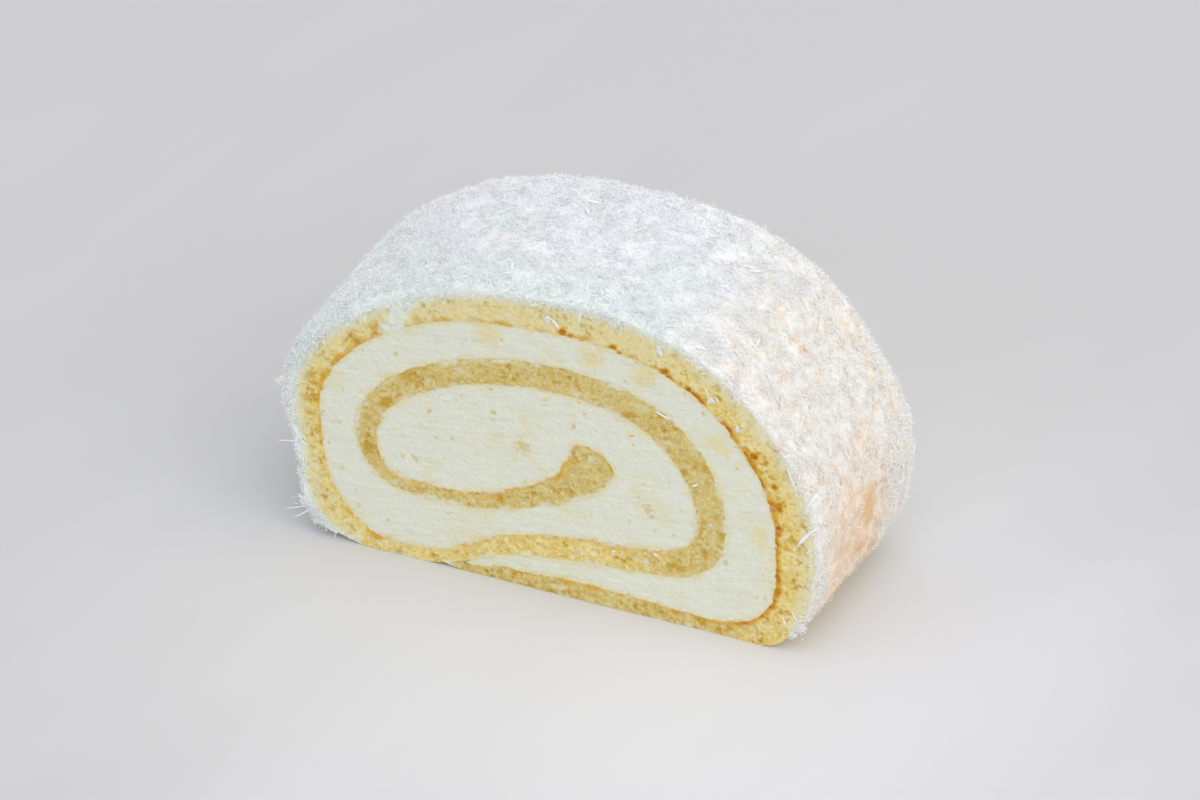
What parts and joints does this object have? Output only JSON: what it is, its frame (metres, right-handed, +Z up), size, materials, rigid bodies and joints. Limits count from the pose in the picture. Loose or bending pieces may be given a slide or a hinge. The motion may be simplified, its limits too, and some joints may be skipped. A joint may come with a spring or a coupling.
{
  "type": "coconut swiss roll slice",
  "caption": "Thick upright slice of oval swiss roll: one sponge sheet wound round pale cream, with shredded coconut on the outside and a flat bare base.",
  "frame": {"origin": "middle of the flat base that the slice rests on, halfway between its two cut faces", "axes": "+Z up, +X across the cut face to the right as shown, +Y along the roll's axis and away from the cut face that the picture shows"},
  "size_m": [0.1142, 0.0428, 0.0672],
  "materials": {
    "baked_sponge": "matt open crumb, with a browned crust line along the cream side",
    "whipped_cream": "soft matt cream with knife marks",
    "shredded_coconut": "matt white shreds, slightly see-through at their ends"
  },
  "bodies": {
    "root": {"sponge": "baked_sponge", "cream": "whipped_cream", "coconut_coat": "shredded_coconut"}
  },
  "joints": []
}
